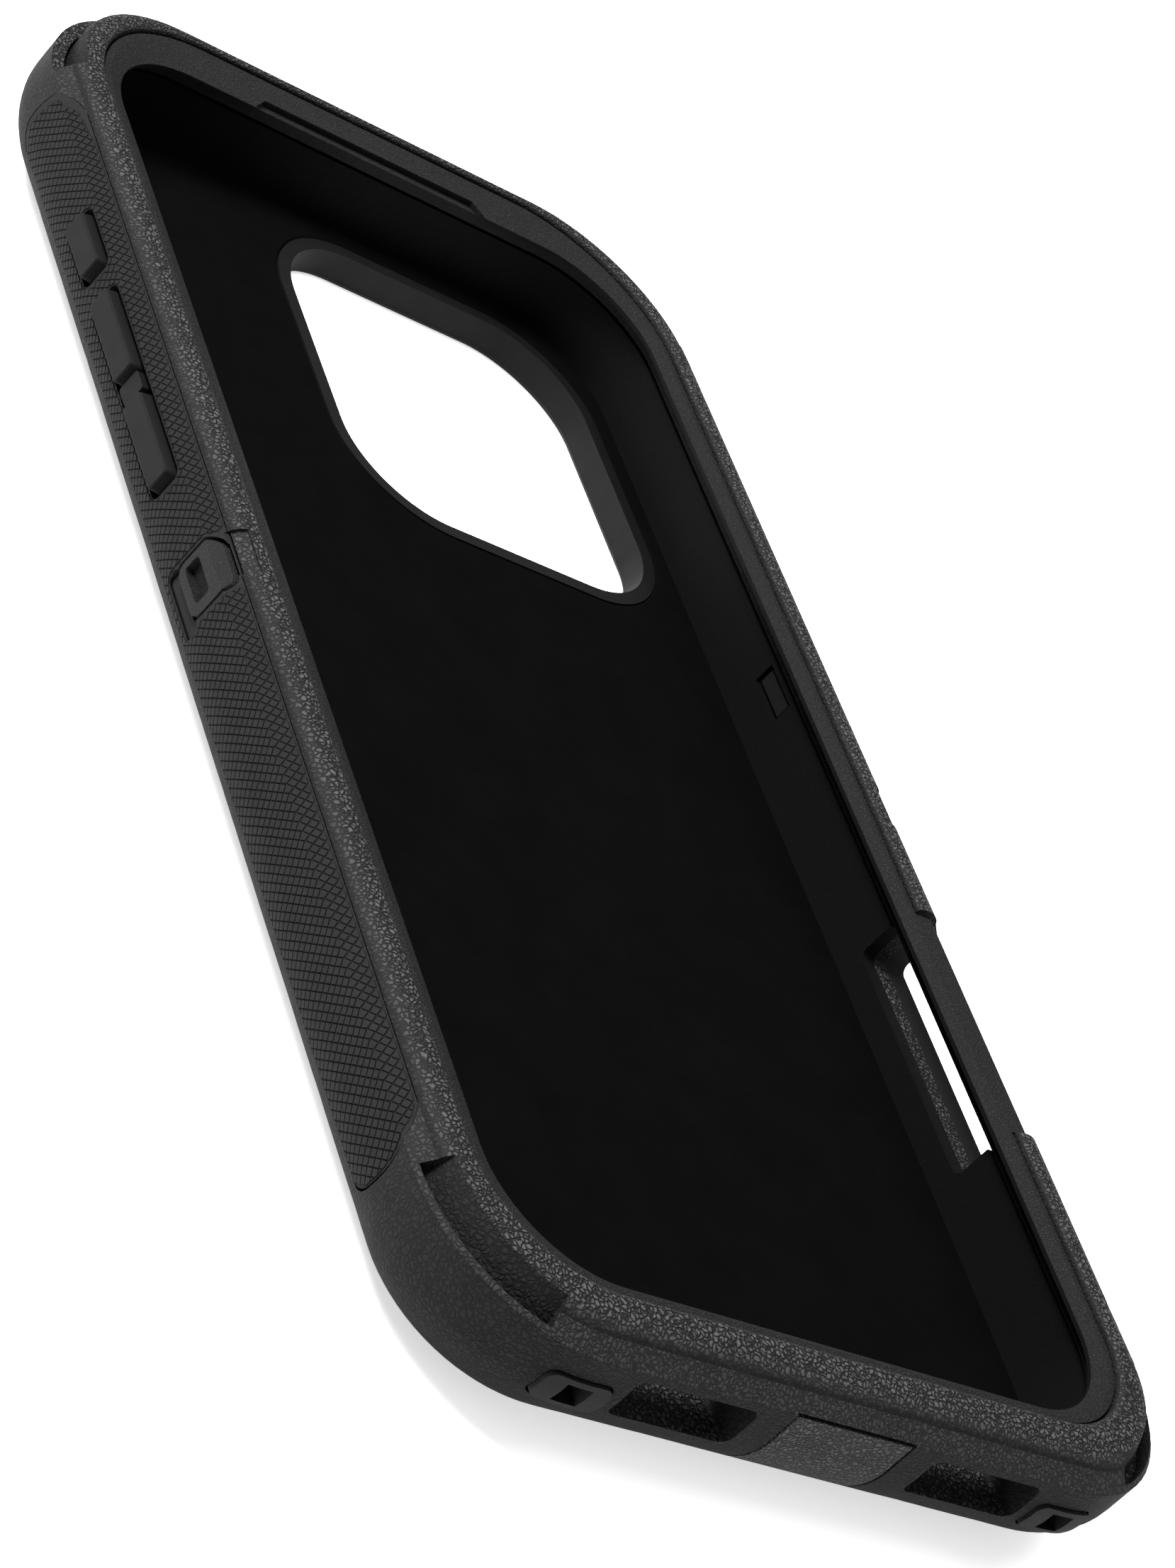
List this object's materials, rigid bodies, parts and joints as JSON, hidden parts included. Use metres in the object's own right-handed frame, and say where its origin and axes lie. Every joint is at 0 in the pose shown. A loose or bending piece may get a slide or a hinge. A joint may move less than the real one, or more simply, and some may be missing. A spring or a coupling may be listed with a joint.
{
  "type": "rugged phone case",
  "caption": "Rugged bumper phone case with a lift-out front frame, diamond-cut side grips, press-through buttons, cord anchors, side latches and a flap over the charging port.",
  "frame": {"origin": "centre of the back face that the case lies on", "axes": "+X to the right as seen from the front, +Y to the earpiece end, +Z out of the screen side"},
  "size_m": [0.0856, 0.1634, 0.0136],
  "materials": {
    "cover_rubber": "matte, pebbled grain",
    "shell_plastic": "matte",
    "grip_rubber": "matte, incised diamond lattice",
    "liner_fabric": "short nap",
    "ring_plastic": "satin",
    "magnet_metal": "plated",
    "magnet_film": "matte",
    "anchor_plastic": "fine grain",
    "frame_plastic": "fine grain",
    "seal_rubber": "smooth",
    "button_plastic": "satin",
    "flap_rubber": "fine grain",
    "latch_plastic": "satin"
  },
  "bodies": {
    "case_body": {"outer_cover": "cover_rubber", "back_shell": "shell_plastic", "left_grip": "grip_rubber", "right_grip": "grip_rubber", "liner_pad": "liner_fabric", "camera_ring": "ring_plastic", "magnet_segments": "magnet_metal", "magnet_backing": "magnet_film", "alignment_magnet": "magnet_metal", "left_anchor_plate": "anchor_plastic", "right_anchor_plate": "anchor_plastic", "volume_bridge": "button_plastic"},
    "front_frame": {"front_frame": "frame_plastic", "lip_seal": "seal_rubber"},
    "action_button": {"action_button": "button_plastic"},
    "volume_up_pad": {"volume_up_pad": "button_plastic"},
    "volume_down_pad": {"volume_down_pad": "button_plastic"},
    "side_button": {"side_button": "button_plastic"},
    "port_flap": {"port_flap": "flap_rubber", "port_plug": "flap_rubber"},
    "left_latch": {"left_latch": "latch_plastic"},
    "right_latch": {"right_latch": "latch_plastic"}
  },
  "joints": [
    {"name": "frame_lift", "type": "slide", "parent": "case_body", "child": "front_frame", "axis": [0, 0, 1], "range_m": [0, 0.015]},
    {"name": "action_press", "type": "slide", "parent": "case_body", "child": "action_button", "axis": [1, 0, 0], "range_m": [0, 0.0004], "stiffness_N_per_m": 1500},
    {"name": "volume_up_press", "type": "slide", "parent": "case_body", "child": "volume_up_pad", "axis": [1, 0, 0], "range_m": [0, 0.0004], "stiffness_N_per_m": 1500},
    {"name": "volume_down_press", "type": "slide", "parent": "case_body", "child": "volume_down_pad", "axis": [1, 0, 0], "range_m": [0, 0.0004], "stiffness_N_per_m": 1500},
    {"name": "side_press", "type": "slide", "parent": "case_body", "child": "side_button", "axis": [-1, 0, 0], "range_m": [0, 0.0004], "stiffness_N_per_m": 1500},
    {"name": "port_flap_hinge", "type": "hinge", "parent": "case_body", "child": "port_flap", "pos_m": [0, -0.0813, 0.0111], "axis": [-1, 0, 0], "range_deg": [0, 115], "stiffness_Nm_per_rad": 0.0005},
    {"name": "left_latch_flex", "type": "hinge", "parent": "case_body", "child": "left_latch", "pos_m": [-0.0408, -0.0044, 0.0093], "axis": [0, 0, 1], "range_deg": [0, 6], "stiffness_Nm_per_rad": 0.2},
    {"name": "right_latch_flex", "type": "hinge", "parent": "case_body", "child": "right_latch", "pos_m": [0.0408, -0.0044, 0.0093], "axis": [0, 0, -1], "range_deg": [0, 6], "stiffness_Nm_per_rad": 0.2}
  ]
}
